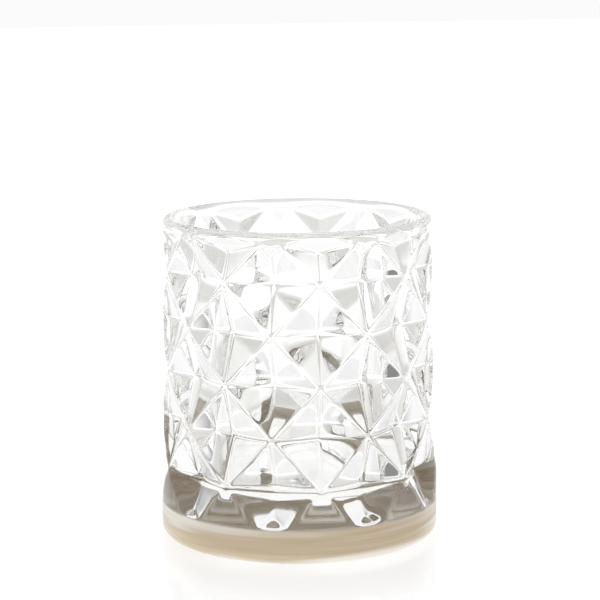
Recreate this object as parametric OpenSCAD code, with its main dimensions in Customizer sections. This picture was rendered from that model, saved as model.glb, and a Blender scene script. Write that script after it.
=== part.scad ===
// Whiskey tumbler of pressed clear glass. Its wall is cut all over with a net of star points:
// rows of diamond-shaped pits leave raised ridges, and eight edges meet at each star.
// The heavy foot carries a sprayed pearl lustre. Upright on +Z, origin on the resting plane.

/* [Glass] */
// Height from the resting plane to the top of the rim
glass_h = 95.6; // [92:0.1:104]
// Outer diameter of the rim
rim_d = 80; // [78:0.1:84]
// Outer diameter of the foot
foot_d = 82.6; // [81:0.1:86]
// Radius of the rounded corner between the side of the foot and its underside
foot_corner_r = 3.4; // [2:0.1:5]

/* [Inside] */
// Inner diameter at the mouth
mouth_d = 72; // [68:0.5:73]
// Inner diameter of the wall just under the flared lip
throat_d = 68; // [64:0.1:69]
// Height over which the inner wall flares out to the mouth
flare_h = 14; // [6:0.5:20]
// Inner diameter where the wall meets the floor fillet
floor_d = 66.4; // [62:0.1:67]
// Thickness of solid glass under the floor, at its centre
base_t = 15; // [12:0.5:19]
// Radius of the fillet between the inner wall and the floor
floor_fillet_r = 7; // [4:0.5:10]

/* [Star relief] */
// Stars in one row round the glass
stars = 9; // [6:1:12]
// Height from one row of stars to the next
row_h = 14.74; // [14:0.01:15]
// Height of the lowest row of stars
first_row_z = 21.8; // [21:0.1:23]
// Depth of each pit below the ridges round it
pit_depth = 5; // [2:0.1:5.2]
// Depth of the pits in the lowest row, which run down into the foot
low_pit_depth = 5.5; // [2:0.1:5.7]
// Height above the resting plane where the relief stops under the rim, above a pit
arch_z = 93.5; // [91:0.1:93.5]

/* [Underside] */
// Width of the flat ring that the glass stands on
ring_w = 12; // [3:0.5:14]
// Depth of the hollow inside the resting ring
punt_depth = 1.2; // [0.6:0.1:2]

/* [Lustre] */
// Height of the lustred band on the side of the foot
lustre_h = 10.4; // [8:0.1:12]
// Thickness of the lustre coat
lustre_t = 0.15; // [0.1:0.05:0.3]

/* [Hidden] */

rim_r = rim_d / 2;
foot_r = foot_d / 2;
mouth_r = mouth_d / 2;
throat_r = throat_d / 2;
floor_r = floor_d / 2;
lip_r = (rim_r - mouth_r) / 2;
// Resting ring: from the corner fillet inwards
ring_outer_r = foot_r - foot_corner_r;
ring_inner_r = ring_outer_r - ring_w;
// Steps of the relief skin between two neighbouring columns and rows of the star net
steps = 3;
columns = 2 * stars;
rows = 5;
// Ridge radius at the rim end and at the lowest row: the wall tapers towards the rim
ridge_r_top = rim_r - 0.05;
ridge_r_low = foot_r - 0.4;
shoulder_h = 3;
top_row_z = first_row_z + rows * row_h;
fillet_z = base_t + floor_fillet_r;
relief_top_z = glass_h - lip_r;
// How the ends of the net deepen: down from the arch at the top, up from the lustre at the bottom
arch_drop = 2;
arch_slope = 0.75;
tail_slope = 0.9;
tail_z = lustre_h + 0.4;
round_fn = 96;

// Distance of x from the nearest even number, 0 to 1: the triangle wave that spaces the stars
function wave(x) = abs(x - 2 * round(x / 2));

// Radius of the uncut skin: a plain foot, then a straight taper up to the rim
function skin_r(z) =
    z < first_row_z - shoulder_h ? foot_r :
    z < first_row_z ? foot_r + (ridge_r_low - foot_r) * (z - first_row_z + shoulder_h) / shoulder_h :
    ridge_r_low + (ridge_r_top - ridge_r_low) * (z - first_row_z) / (top_row_z - first_row_z);

// Depth of the pits v rows above the lowest row of stars
function pit_depth_at(v) = low_pit_depth + (pit_depth - low_pit_depth) * min(1, max(0, v));

// Depth of the net u columns round and v rows above the lowest row of stars. Below that row
// only the pits of the row itself go on, and they run out downwards.
function net_depth(u, v) =
    pit_depth_at(v) * (v >= 0 ? abs(wave(u) - wave(v)) : max(0, wave(u) + v));

// The arch closes each top pit, and the lowest pits run out above the lustre
function arch_depth(u, z) = max(0, arch_slope * (arch_z - arch_drop * pow(wave(u), 2) - z));
function tail_depth(z) = max(0, tail_slope * (z - tail_z));

function relief_r(u, z) =
    skin_r(z) - min(net_depth(u, (z - first_row_z) / row_h), arch_depth(u, z), tail_depth(z));

// A closed skin of facets: one ring of points per level, with a flat cap at each end
module relief_skin() {
    n = columns * steps;
    net_levels = [for (i = [-steps : rows * steps]) first_row_z + i * row_h / steps];
    levels = concat(
        lustre_h, tail_z, tail_z + 2.5,
        [for (z = net_levels) if (z > tail_z + 3 && z < relief_top_z - 1) z],
        arch_z - 1.2, relief_top_z);
    count = len(levels);
    ring_points = [for (z = levels) for (i = [0 : n - 1])
        let (a = i * 360 / n - 90, r = relief_r(i / steps, z))
        [r * cos(a), r * sin(a), z]];
    // Each quad is split along the ridge that runs through it, seen from outside
    side_faces = [for (j = [0 : count - 2]) for (i = [0 : n - 1])
        let (a = j * n + i, b = j * n + (i + 1) % n, c = b + n, d = a + n,
             row = floor(((levels[j] + levels[j + 1]) / 2 - first_row_z) / row_h))
        each (floor(i / steps) + row) % 2 == 0 ? [[a, c, b], [a, d, c]] : [[a, d, b], [b, d, c]]];
    bottom = [for (i = [0 : n - 1]) i];
    top = [for (i = [0 : n - 1]) count * n - 1 - i];
    polyhedron(points = ring_points, faces = concat([bottom], side_faces, [top]), convexity = 8);
}

// Solid of the plain foot, inset by the coat so that the lustre finishes flush
module foot_blank() {
    side_r = foot_r - lustre_t;
    rotate_extrude($fn = round_fn) {
        difference() {
            square([side_r, lustre_h]);
            translate([ring_outer_r, 0]) square([foot_corner_r, foot_corner_r]);
            square([ring_inner_r, punt_depth]);
        }
        intersection() {
            translate([ring_outer_r, foot_corner_r]) circle(foot_corner_r - lustre_t, $fn = round_fn);
            translate([ring_outer_r, 0]) square([foot_corner_r, foot_corner_r]);
        }
        translate([ring_outer_r - 1, 0]) square([1, 1]);
    }
}

// Upper half of a round lip
module rim_lip() {
    rotate_extrude($fn = round_fn)
    intersection() {
        translate([rim_r - lip_r, relief_top_z]) circle(lip_r, $fn = 48);
        translate([mouth_r, relief_top_z]) square([2 * lip_r, lip_r]);
    }
}

// Radius of the inner wall: a straight draft that flares out to the mouth
function inner_r(z) =
    floor_r + (throat_r - floor_r) * (z - fillet_z) / (relief_top_z - fillet_z)
    + (mouth_r - throat_r) * pow(max(0, 1 - (relief_top_z - z) / flare_h), 2);

// The space for the drink: drafted wall, filleted into a flat floor
module drink_space() {
    fillet_x = floor_r - floor_fillet_r;
    flare_levels = [for (i = [0 : 6]) relief_top_z - flare_h * (1 - i / 6)];
    rotate_extrude($fn = round_fn) {
        polygon(concat(
            [[0, fillet_z], [floor_r, fillet_z]],
            [for (z = flare_levels) [inner_r(z), z]],
            [[mouth_r, glass_h], [0, glass_h]]));
        translate([0, base_t]) square([fillet_x, floor_fillet_r]);
        intersection() {
            translate([fillet_x, fillet_z]) circle(floor_fillet_r, $fn = 64);
            translate([fillet_x, base_t]) square([floor_fillet_r, floor_fillet_r]);
        }
    }
}

module glass_body() {
    color("aliceblue", 0.6)
    union() {
        difference() {
            union() {
                foot_blank();
                relief_skin();
            }
            drink_space();
        }
        rim_lip();
    }
}

module foot_lustre_band() {
    color("tan")
    rotate_extrude($fn = round_fn) difference() {
        union() {
            translate([ring_outer_r, foot_corner_r]) circle(foot_corner_r, $fn = round_fn);
            translate([ring_outer_r, foot_corner_r]) square([foot_corner_r, lustre_h - foot_corner_r]);
        }
        translate([ring_outer_r, foot_corner_r]) circle(foot_corner_r - lustre_t, $fn = round_fn);
        translate([0, foot_corner_r]) square([foot_r - lustre_t, lustre_h]);
        square([ring_outer_r + 0.8, lustre_h]);
    }
}

glass_body();
foot_lustre_band();
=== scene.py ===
"""Whiskey tumbler of pressed glass, in a plain white studio.

The CAD frame gives the overall height, the foot and the lustre band. This script builds finer meshes of
the same two pieces, with rounded ridges, and gives them their materials.
Lengths are in metres, and values in millimetres are multiplied by MM.
"""

import math

import bpy
import numpy as np
from mathutils import Matrix, Vector


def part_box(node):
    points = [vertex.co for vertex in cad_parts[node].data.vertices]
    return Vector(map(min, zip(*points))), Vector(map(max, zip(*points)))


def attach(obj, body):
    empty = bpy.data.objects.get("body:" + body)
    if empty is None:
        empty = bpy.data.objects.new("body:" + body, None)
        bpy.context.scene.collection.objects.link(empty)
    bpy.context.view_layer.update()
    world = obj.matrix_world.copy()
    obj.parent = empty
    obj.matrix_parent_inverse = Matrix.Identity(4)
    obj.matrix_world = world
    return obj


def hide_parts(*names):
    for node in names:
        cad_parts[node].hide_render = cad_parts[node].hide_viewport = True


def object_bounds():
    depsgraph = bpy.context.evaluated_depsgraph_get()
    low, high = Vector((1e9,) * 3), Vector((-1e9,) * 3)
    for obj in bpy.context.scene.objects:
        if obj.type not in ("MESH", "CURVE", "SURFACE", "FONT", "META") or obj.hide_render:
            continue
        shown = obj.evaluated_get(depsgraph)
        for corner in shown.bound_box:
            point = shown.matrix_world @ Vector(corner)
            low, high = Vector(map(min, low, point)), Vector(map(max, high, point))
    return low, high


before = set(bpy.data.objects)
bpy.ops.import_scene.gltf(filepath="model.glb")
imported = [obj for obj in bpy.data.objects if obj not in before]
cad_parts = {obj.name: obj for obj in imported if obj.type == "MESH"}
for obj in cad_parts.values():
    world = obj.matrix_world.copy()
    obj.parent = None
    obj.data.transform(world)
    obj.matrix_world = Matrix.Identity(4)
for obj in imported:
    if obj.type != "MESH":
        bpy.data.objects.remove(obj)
cad_low, cad_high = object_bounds()

MM = 0.001

# Outline of the glass, as in the CAD model
GLASS_H = cad_high.z
FOOT_R = cad_high.x
RIM_R = 40 * MM
MOUTH_R = 36 * MM
FLOOR_R = 33.2 * MM
WALL_TOP_R = 34 * MM
FLARE_H = 14 * MM
BASE_T = 15 * MM
FLOOR_FILLET_R = 7 * MM
FOOT_CORNER_R = 3.4 * MM
LIP_R = (RIM_R - MOUTH_R) / 2
RELIEF_TOP_Z = GLASS_H - LIP_R
RING_OUTER_R = FOOT_R - FOOT_CORNER_R
RING_INNER_R = RING_OUTER_R - 12 * MM
PUNT_Z = 1.2 * MM

# The lustre coat on the foot
LUSTRE_T = 0.15 * MM
LUSTRE_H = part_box("foot_lustre_band")[1].z
# Where on the rounded corner the coat begins, in degrees from the horizontal
COAT_FROM = -80
COAT_START_R = RING_OUTER_R + (FOOT_CORNER_R - LUSTRE_T) * math.cos(math.radians(COAT_FROM))
# Air left between the coat and the glass, so that their faces don't coincide
COAT_GAP = 0.01 * MM

# The star net: columns and rows of ridges with pits between them
COLUMNS = 18
ROWS = 5
ROW_H = 14.74 * MM
FIRST_ROW_Z = 21.8 * MM
TOP_ROW_Z = FIRST_ROW_Z + ROWS * ROW_H
PIT_DEPTH = 5 * MM
LOW_PIT_DEPTH = 5.5 * MM
SHOULDER_H = 3 * MM
RIDGE_R_TOP = RIM_R - 0.05 * MM
RIDGE_R_LOW = FOOT_R - 0.4 * MM
# Arches end the pits under the rim
ARCH_Z = 93.5 * MM
ARCH_DROP = 2 * MM
ARCH_SLOPE = 0.75
# Flutes: the lowest pits run down into the foot and end bluntly
FLUTE_END_SLOPE = 0.9
FLUTE_END_Z = 10.8 * MM

# Mesh steps per column and per row of the net
STEPS = 28
AROUND = COLUMNS * STEPS
# Steps round the lip, the foot's corner, the band's corner and the floor's fillet, and up the inner wall
LIP_STEPS = 20
CORNER_STEPS = 18
BAND_STEPS = 6
FILLET_STEPS = 18
WALL_STEPS = 40
# Rounding of the edges by fire polishing, in mesh steps, and how far it blends either side of FIRST_ROW_Z
WALL_POLISH = 0.9
FOOT_POLISH = 1.5
POLISH_BLEND = 4 * MM
# Edges sharper than this, in degrees, aren't shaded smooth
SHARP_EDGE = 50


def grey(level):
    return (level, level, level)


# Clear soda glass
GLASS_COLOUR = (0.985, 0.988, 0.985)
GLASS_IOR = 1.5

# Lustre colours: the plain coat, its dark streaks, and the painted highlight colour of its pearly clouds
BAND_COLOURS_AND_HIGHLIGHT = ((0.74, 0.62, 0.45), (0.61, 0.49, 0.33), (0.94, 0.90, 0.84))
INSIDE_COLOURS_AND_HIGHLIGHT = ((0.84, 0.75, 0.63), (0.72, 0.63, 0.51), (0.93, 0.88, 0.80))
# Noise scales per axis: fine level streaks, and broad level clouds of painted highlight
STREAK_SCALE = (25, 25, 700)
HIGHLIGHT_CLOUD_SCALE = (14, 14, 210)

# Light from the floor by distance from the axis: under the glass, round it, where a darker ring is a painted
# shadow of the glass, and farther away
FLOOR_HALF = 3.0
FLOOR_DROP = 0.1 * MM
FLOOR_UNDER = (0.93, 0.925, 0.91)
FLOOR_NEAR_SHADOW = (0.62, 0.61, 0.59)
FLOOR_GLOW_AND_SHADOW_STOPS = [(0.04, FLOOR_UNDER), (0.052, FLOOR_NEAR_SHADOW), (0.2, FLOOR_NEAR_SHADOW), (0.35, grey(0.98))]
# The floor as the camera sees it, with painted shade that makes it a little darker at the foot
FLOOR_SEEN_SHADE_STOPS = [(0.042, grey(0.74)), (0.09, grey(0.85))]
# Light from behind the glass and from before it, by the sine of the elevation
BACK_STOPS = [(0.0, grey(1.0)), (0.42, grey(1.0)), (0.52, grey(0.5)),
              (0.7, grey(0.35)), (0.8, grey(1.3)), (1.0, grey(1.3))]
FRONT_STOPS = [(0.0, grey(0.25)), (0.3, grey(0.13)), (0.6, grey(0.2)),
               (0.75, grey(1.4)), (1.0, grey(1.4))]
# Where before turns to behind: 0 is straight before the glass, 0.5 its sides and 1 straight behind
BACK_EDGE_STOPS = [(0.58, grey(0)), (0.82, grey(1))]
# The sky as the camera sees it
BACKDROP = (0.965, 0.965, 0.965)
# Soft boxes: azimuth from the front in degrees, towards +X, and power in watts
SOFT_BOXES = ((-48, 1.6), (35, 0.8))
SOFT_BOX_SIZE = 0.35
SOFT_BOX_DISTANCE = 0.8
SOFT_BOX_RISE = 0.55
LIGHT_BOUNCES = 32
GLOSSY_BOUNCES = 16

# The camera: angles in degrees, lens and sensor in millimetres
CAMERA_AZIMUTH = -8.985
CAMERA_ELEVATION = 9.908
CAMERA_ROLL = -0.466
CAMERA_DISTANCE = 0.6636
CAMERA_LENS = 133.9
CAMERA_SENSOR = 36
AIM_Z = 69.9 * MM
AIM_RIGHT = 0.66 * MM


# ---------------------------------------------------------------- meshes

def turn_angles():
    """Azimuth of every mesh column, counted from the front, -Y, towards +X."""
    return np.arange(AROUND) * 2 * math.pi / AROUND


def ring(radius, z):
    """One closed ring of points. The radius and the height are numbers or one value per mesh column."""
    angle = turn_angles()
    r = np.broadcast_to(radius, AROUND)
    h = np.broadcast_to(z, AROUND)
    return np.stack([r * np.sin(angle), -r * np.cos(angle), h], axis=1)


def skin_mesh(name, rings, closed_loop=False, poles=None, split=None):
    """A closed mesh through a list of rings.

    With poles, (z of the first, z of the last), the ends close on the axis. With closed_loop the last ring
    joins the first. split(j) gives, per mesh column, which way the quads above ring j are split, or None.
    """
    points = np.concatenate(rings)
    faces = []
    last = len(rings) if closed_loop else len(rings) - 1
    column = np.arange(AROUND)
    following = (column + 1) % AROUND
    for j in range(last):
        k = (j + 1) % len(rings)
        a = j * AROUND + column
        b = j * AROUND + following
        c = k * AROUND + following
        d = k * AROUND + column
        turned = split(j) if split else None
        if turned is None:
            faces += np.stack([a, b, c, d], axis=1).tolist()
            continue
        one = np.where(turned[:, None], np.stack([a, b, c], axis=1), np.stack([a, b, d], axis=1))
        two = np.where(turned[:, None], np.stack([a, c, d], axis=1), np.stack([b, c, d], axis=1))
        faces += one.tolist() + two.tolist()
    if poles:
        low = len(points)
        high = low + 1
        points = np.concatenate([points, [[0, 0, poles[0]], [0, 0, poles[1]]]])
        end = (len(rings) - 1) * AROUND
        faces += np.stack([following, column, np.full(AROUND, low)], axis=1).tolist()
        faces += np.stack([end + column, end + following, np.full(AROUND, high)], axis=1).tolist()
    mesh = bpy.data.meshes.new(name)
    mesh.from_pydata(points.tolist(), [], faces)
    mesh.polygons.foreach_set("use_smooth", np.ones(len(mesh.polygons), bool))
    mesh.set_sharp_from_angle(angle=math.radians(SHARP_EDGE))
    mesh.update()
    piece = bpy.data.objects.new(name, mesh)
    bpy.context.scene.collection.objects.link(piece)
    return piece


def arc(centre_r, centre_z, radius, start, end, steps):
    """Points (radius, z) round an arc of the outline. Angles are in degrees: 0 points outwards and 90 up."""
    turn = np.radians(np.linspace(start, end, steps + 1))
    return [(centre_r + radius * math.cos(t), centre_z + radius * math.sin(t)) for t in turn]


def wave(x):
    """Distance from the nearest even number, 0 to 1."""
    return np.abs(x - 2 * np.round(x / 2))


def skin_radius(z):
    """Radius of the uncut wall: a plain foot, then a straight taper up to the rim."""
    shoulder = FIRST_ROW_Z - SHOULDER_H
    return np.interp(z, [shoulder, FIRST_ROW_Z, TOP_ROW_Z], [FOOT_R, RIDGE_R_LOW, RIDGE_R_TOP])


def cut_depth(u, z):
    """Depth of the cut u columns round and at height z, with every edge sharp."""
    v = (z - FIRST_ROW_Z) / ROW_H
    pit = np.interp(v, [0, 1], [LOW_PIT_DEPTH, PIT_DEPTH])
    net = pit * np.abs(wave(u) - wave(v))
    flute = np.minimum(pit * (wave(u) + v), FLUTE_END_SLOPE * (z - FLUTE_END_Z))
    net = np.where(v >= 0, net, np.maximum(flute, 0))
    arch = np.maximum(0, ARCH_SLOPE * (ARCH_Z - ARCH_DROP * wave(u) ** 2 - z))
    return np.minimum(net, arch)


def smoothing_kernel(reach):
    """Weights of a Gaussian blur with that standard deviation in mesh steps."""
    half = max(1, math.ceil(3 * reach))
    weights = np.exp(-np.arange(-half, half + 1) ** 2 / (2 * reach ** 2))
    return weights / weights.sum()


def fire_polished(grid, reach):
    """The grid of depths, levels by columns, with its edges rounded as fire polishing does."""
    kernel = smoothing_kernel(reach)
    half = len(kernel) // 2
    wide = np.pad(grid, ((half, half), (0, 0)), mode="edge")
    wide = np.pad(wide, ((0, 0), (half, half)), mode="wrap")
    rows = sum(w * wide[i:i + grid.shape[0]] for i, w in enumerate(kernel))
    return sum(w * rows[:, i:i + grid.shape[1]] for i, w in enumerate(kernel))


def relief_levels():
    """Heights of the relief's rings, evenly spaced, from the foot to the rim."""
    step = ROW_H / STEPS
    first = math.ceil((FOOT_CORNER_R + step - FIRST_ROW_Z) / step)
    last = math.floor((RELIEF_TOP_Z - FIRST_ROW_Z) / step)
    return FIRST_ROW_Z + np.arange(first, last + 1) * step


def relief_grid():
    """Heights of the levels, and the wall's radius at each level and column."""
    z = relief_levels()
    u = np.arange(AROUND) / STEPS
    sharp = cut_depth(u[None, :], z[:, None])
    fine = fire_polished(sharp, WALL_POLISH)
    soft = fire_polished(sharp, FOOT_POLISH)
    share = np.clip((z - FIRST_ROW_Z + POLISH_BLEND) / (2 * POLISH_BLEND), 0, 1)[:, None]
    depth = soft * (1 - share) + fine * share
    return z, skin_radius(z)[:, None] - depth


def inner_radius(z):
    """Radius of the inner wall: a straight draft that flares out to the lip."""
    fillet_z = BASE_T + FLOOR_FILLET_R
    draft = np.interp(z, [fillet_z, RELIEF_TOP_Z], [FLOOR_R, WALL_TOP_R])
    flare = max(0, 1 - (RELIEF_TOP_Z - z) / FLARE_H)
    return draft + (MOUTH_R - WALL_TOP_R) * flare ** 2


def underside_points():
    """Outline from the axis outwards: the shallow punt, the resting ring and the glass under the coat."""
    punt = [(r * MM, PUNT_Z) for r in (4, 12, 20)]
    punt_edge = [(RING_INNER_R - 2 * MM, PUNT_Z),
                 (RING_INNER_R - 1.4 * MM, PUNT_Z - 0.1 * MM),
                 (RING_INNER_R - 0.4 * MM, 0.2 * MM)]
    resting_ring = [(RING_INNER_R + 0.3 * MM, 0), (RING_OUTER_R - 1 * MM, 0)]
    corner = arc(RING_OUTER_R, FOOT_CORNER_R, FOOT_CORNER_R - LUSTRE_T, -90, 0, CORNER_STEPS)
    return punt + punt_edge + resting_ring + corner


def inside_points():
    """Outline over the lip, down the inner wall and across the floor to the axis."""
    fillet_z = BASE_T + FLOOR_FILLET_R
    lip = arc(RIM_R - LIP_R, RELIEF_TOP_Z, LIP_R, 0, 180, LIP_STEPS)[1:]
    wall = [(inner_radius(z), z) for z in np.linspace(RELIEF_TOP_Z, fillet_z, WALL_STEPS)[1:]]
    fillet = arc(FLOOR_R - FLOOR_FILLET_R, fillet_z, FLOOR_FILLET_R, 0, -90, FILLET_STEPS)[1:]
    floor = [(r * MM, BASE_T) for r in (18, 9, 3)]
    return lip + wall + fillet + floor


def coated_faces(mesh):
    """1 for each face that the coat is bonded to, and 0 for bare glass."""
    middles = np.empty(3 * len(mesh.polygons))
    mesh.polygons.foreach_get("center", middles)
    x, y, z = middles.reshape(-1, 3).T
    return ((z < LUSTRE_H) & (np.hypot(x, y) > COAT_START_R)).astype(int)


def glass_piece():
    """The whole glass: underside, foot, cut wall, lip, inner wall and floor."""
    below = underside_points()
    levels, radii = relief_grid()
    inset = np.where(levels <= LUSTRE_H, LUSTRE_T, 0)
    relief = [ring(r - t, z) for r, t, z in zip(radii, inset, levels)]
    rings = [ring(*p) for p in below] + relief + [ring(*p) for p in inside_points()]
    first = len(below)
    column = np.arange(AROUND) / STEPS

    def split(j):
        """Splits the relief's quads along the ridge that runs through them."""
        if not first <= j < first + len(levels) - 1:
            return None
        middle = (levels[j - first] + levels[j - first + 1]) / 2
        row = math.floor((middle - FIRST_ROW_Z) / ROW_H)
        return (np.floor(column).astype(int) + row) % 2 == 0

    return skin_mesh("glass_tumbler", rings, poles=(PUNT_Z, BASE_T), split=split)


def band_piece():
    """The lustre coat on the side of the foot, round the corner to the resting ring."""
    inner_corner_r = FOOT_CORNER_R - LUSTRE_T + COAT_GAP
    outer = arc(RING_OUTER_R, FOOT_CORNER_R, FOOT_CORNER_R, COAT_FROM, 0, BAND_STEPS)
    inner = arc(RING_OUTER_R, FOOT_CORNER_R, inner_corner_r, COAT_FROM, 0, BAND_STEPS)
    levels, radii = relief_grid()
    coated = levels <= LUSTRE_H
    side_outer = [ring(r, z) for r, z in zip(radii[coated], levels[coated])]
    side_inner = [ring(r - LUSTRE_T + COAT_GAP, z) for r, z in zip(radii[coated], levels[coated])]
    rings = [ring(*p) for p in outer] + side_outer + side_inner[::-1] + [ring(*p) for p in inner[::-1]]
    return skin_mesh("pearl_lustre_band", rings, closed_loop=True)


# ---------------------------------------------------------------- shader nodes

def new_material(name):
    """An empty node material, its nodes and its links."""
    material = bpy.data.materials.new(name)
    material.use_nodes = True
    return material, material.node_tree.nodes, material.node_tree.links


def noise_of(nodes, links, place, scale, detail):
    """Noise of object coordinates, stretched by a scale for each axis."""
    stretch = nodes.new("ShaderNodeMapping")
    stretch.inputs["Scale"].default_value = scale
    noise = nodes.new("ShaderNodeTexNoise")
    noise.inputs["Scale"].default_value = 1
    noise.inputs["Detail"].default_value = detail
    links.new(place.outputs["Object"], stretch.inputs["Vector"])
    links.new(stretch.outputs["Vector"], noise.inputs["Vector"])
    return noise.outputs["Fac"]


def ramp_of(nodes, links, value, stops):
    """A colour ramp through (position, colour) stops, driven by a number."""
    node = nodes.new("ShaderNodeValToRGB")
    elements = node.color_ramp.elements
    while len(elements) < len(stops):
        elements.new(0.5)
    for element, (position, colour) in zip(elements, stops):
        element.position = position
        element.color = (*colour, 1)
    links.new(value, node.inputs["Fac"])
    return node.outputs["Color"]


def blend_colours(nodes, links, factor, a, b):
    """Mixes a and b, each a colour or a socket, by a factor socket."""
    node = nodes.new("ShaderNodeMix")
    node.data_type = "RGBA"
    for name, value in (("Factor", factor), ("A", a), ("B", b)):
        socket = next(i for i in node.inputs if i.name == name and i.enabled)
        if isinstance(value, tuple):
            socket.default_value = (*value, 1)
        else:
            links.new(value, socket)
    return next(o for o in node.outputs if o.enabled)


# ---------------------------------------------------------------- materials

def glass_material():
    """Clear glass without roughness."""
    material, nodes, links = new_material("clear_glass")
    shader = nodes["Principled BSDF"]
    shader.inputs["Base Color"].default_value = (*GLASS_COLOUR, 1)
    shader.inputs["Transmission Weight"].default_value = 1
    shader.inputs["Roughness"].default_value = 0.0
    shader.inputs["IOR"].default_value = GLASS_IOR
    return material


def lustre_material(name, colour, dark, pearl_highlight):
    """Sprayed lustre: a satin coat with fine level streaks and broad pearly clouds of painted highlight."""
    material, nodes, links = new_material(name)
    shader = nodes["Principled BSDF"]
    shader.inputs["Metallic"].default_value = 0.45
    shader.inputs["Roughness"].default_value = 0.3
    shader.inputs["Coat Weight"].default_value = 0.4
    shader.inputs["Coat Roughness"].default_value = 0.12
    place = nodes.new("ShaderNodeTexCoord")
    streaks = noise_of(nodes, links, place, STREAK_SCALE, 3)
    highlight_clouds = noise_of(nodes, links, place, HIGHLIGHT_CLOUD_SCALE, 2)
    body = ramp_of(nodes, links, streaks, [(0.3, dark), (0.7, colour)])
    # Painted highlights: where the broad clouds rise, the coat's colour turns to a light pearl
    highlight_mask = ramp_of(nodes, links, highlight_clouds, [(0.47, grey(0)), (0.62, grey(0.9))])
    links.new(blend_colours(nodes, links, highlight_mask, body, pearl_highlight), shader.inputs["Base Color"])
    bump = nodes.new("ShaderNodeBump")
    bump.inputs["Strength"].default_value = 0.25
    bump.inputs["Distance"].default_value = 0.6 * MM
    links.new(highlight_clouds, bump.inputs["Height"])
    links.new(bump.outputs["Normal"], shader.inputs["Normal"])
    return material


# ---------------------------------------------------------------- studio

def floor_material():
    """A pale glossy floor that gives light of its own: one amount to the camera, another to the glass, both
    darkened round the foot by painted shadow.
    """
    material, nodes, links = new_material("white_floor")
    shader = nodes["Principled BSDF"]
    shader.inputs["Base Color"].default_value = (*grey(0.1), 1)
    shader.inputs["Roughness"].default_value = 0.15
    shader.inputs["Emission Strength"].default_value = 1
    place = nodes.new("ShaderNodeTexCoord")
    length = nodes.new("ShaderNodeVectorMath")
    length.operation = "LENGTH"
    links.new(place.outputs["Object"], length.inputs[0])
    # Painted shadow: the light the glass gets from the floor is darker in a ring round its foot
    glow_with_painted_shadow = ramp_of(nodes, links, length.outputs["Value"], FLOOR_GLOW_AND_SHADOW_STOPS)
    # Painted shade: the floor that the camera sees is darker at the glass's foot
    seen_with_painted_shade = ramp_of(nodes, links, length.outputs["Value"], FLOOR_SEEN_SHADE_STOPS)
    path = nodes.new("ShaderNodeLightPath")
    emission = blend_colours(nodes, links, path.outputs["Is Camera Ray"], glow_with_painted_shadow, seen_with_painted_shade)
    links.new(emission, shader.inputs["Emission Color"])
    return material


def studio_floor():
    """A square floor just below the glass."""
    half = FLOOR_HALF
    corners = [(-half, -half, 0), (half, -half, 0), (half, half, 0), (-half, half, 0)]
    mesh = bpy.data.meshes.new("floor")
    mesh.from_pydata(corners, [], [(0, 1, 2, 3)])
    floor = bpy.data.objects.new("floor", mesh)
    floor.location.z = -FLOOR_DROP
    bpy.context.scene.collection.objects.link(floor)
    floor.data.materials.append(floor_material())


def studio_world():
    """Bands of light behind the glass and before it, and a plain backdrop for the camera."""
    world = bpy.data.worlds.new("studio")
    bpy.context.scene.world = world
    world.use_nodes = True
    nodes = world.node_tree.nodes
    links = world.node_tree.links
    place = nodes.new("ShaderNodeTexCoord")
    parts = nodes.new("ShaderNodeSeparateXYZ")
    links.new(place.outputs["Generated"], parts.inputs[0])
    behind = ramp_of(nodes, links, parts.outputs["Z"], BACK_STOPS)
    before = ramp_of(nodes, links, parts.outputs["Z"], FRONT_STOPS)
    # Y runs from -1 before the glass to 1 behind it, and the ramp takes 0 to 1
    backness = nodes.new("ShaderNodeMath")
    backness.operation = "MULTIPLY_ADD"
    backness.inputs[1].default_value = 0.5
    backness.inputs[2].default_value = 0.5
    links.new(parts.outputs["Y"], backness.inputs[0])
    side = ramp_of(nodes, links, backness.outputs[0], BACK_EDGE_STOPS)
    light = blend_colours(nodes, links, side, before, behind)
    path = nodes.new("ShaderNodeLightPath")
    sky = blend_colours(nodes, links, path.outputs["Is Camera Ray"], light, BACKDROP)
    links.new(sky, nodes["Background"].inputs["Color"])


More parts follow.
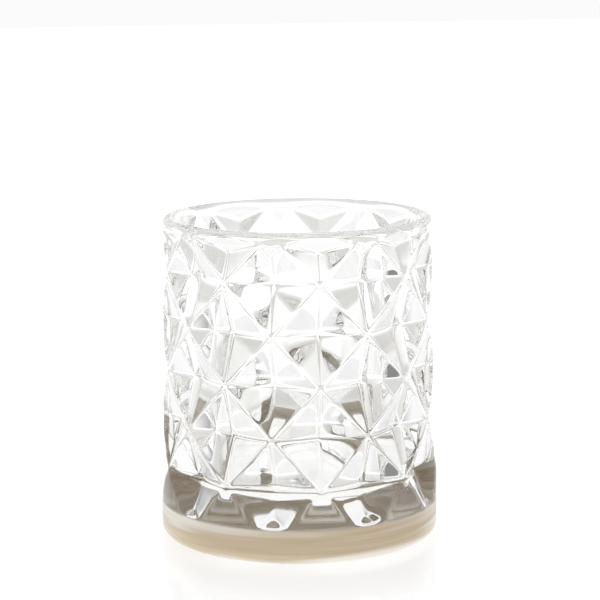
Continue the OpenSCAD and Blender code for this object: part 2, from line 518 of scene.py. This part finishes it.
def soft_box(azimuth, power):
    """A square area light before the glass. It lights only matt colour: no reflection shows it."""
    turn = math.radians(azimuth)
    place = Vector((math.sin(turn), -math.cos(turn), SOFT_BOX_RISE)) * SOFT_BOX_DISTANCE
    data = bpy.data.lights.new("soft_box", "AREA")
    data.size = SOFT_BOX_SIZE
    data.energy = power
    box = bpy.data.objects.new("soft_box", data)
    box.location = place
    box.rotation_euler = (-place).to_track_quat("-Z", "Y").to_euler()
    box.visible_transmission = False
    box.visible_glossy = False
    bpy.context.scene.collection.objects.link(box)


def studio():
    """White floor, world light and soft boxes, with enough bounces for thick glass."""
    studio_floor()
    studio_world()
    for azimuth, power in SOFT_BOXES:
        soft_box(azimuth, power)
    scene = bpy.context.scene
    scene.view_settings.view_transform = "Standard"
    scene.cycles.max_bounces = LIGHT_BOUNCES
    scene.cycles.transmission_bounces = LIGHT_BOUNCES
    scene.cycles.transparent_max_bounces = LIGHT_BOUNCES
    scene.cycles.glossy_bounces = GLOSSY_BOUNCES
    scene.cycles.caustics_refractive = True
    scene.cycles.caustics_reflective = True


def camera():
    """The camera, above and left of the front, aimed just right of the glass's axis."""
    azimuth = math.radians(CAMERA_AZIMUTH)
    elevation = math.radians(CAMERA_ELEVATION)
    right = Vector((math.cos(azimuth), math.sin(azimuth), 0))
    back = Vector((math.sin(azimuth) * math.cos(elevation),
                   -math.cos(azimuth) * math.cos(elevation), math.sin(elevation)))
    up = back.cross(right)
    aim = right * AIM_RIGHT + Vector((0, 0, AIM_Z))
    data = bpy.data.cameras.new("camera")
    data.lens = CAMERA_LENS
    data.sensor_width = CAMERA_SENSOR
    viewer = bpy.data.objects.new("camera", data)
    turn = Matrix((right, up, back)).transposed() @ Matrix.Rotation(math.radians(CAMERA_ROLL), 3, "Z")
    viewer.matrix_world = Matrix.Translation(aim + back * CAMERA_DISTANCE) @ turn.to_4x4()
    bpy.context.scene.collection.objects.link(viewer)
    bpy.context.scene.camera = viewer


# ---------------------------------------------------------------- the scene

camera()
studio()
glass = glass_piece()
band = band_piece()

# Light inside the glass meets the bonded coat on the glass's own coated faces, so they show its inner side
glass.data.materials.append(glass_material())
glass.data.materials.append(lustre_material("pearl_lustre_inside", *INSIDE_COLOURS_AND_HIGHLIGHT))
glass.data.polygons.foreach_set("material_index", coated_faces(glass.data))
band.data.materials.append(lustre_material("pearl_lustre", *BAND_COLOURS_AND_HIGHLIGHT))

for piece, node, slot in ((glass, "glass_body", "clear_glass"),
                          (band, "foot_lustre_band", "pearl_lustre")):
    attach(piece, "root")
    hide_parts(node)
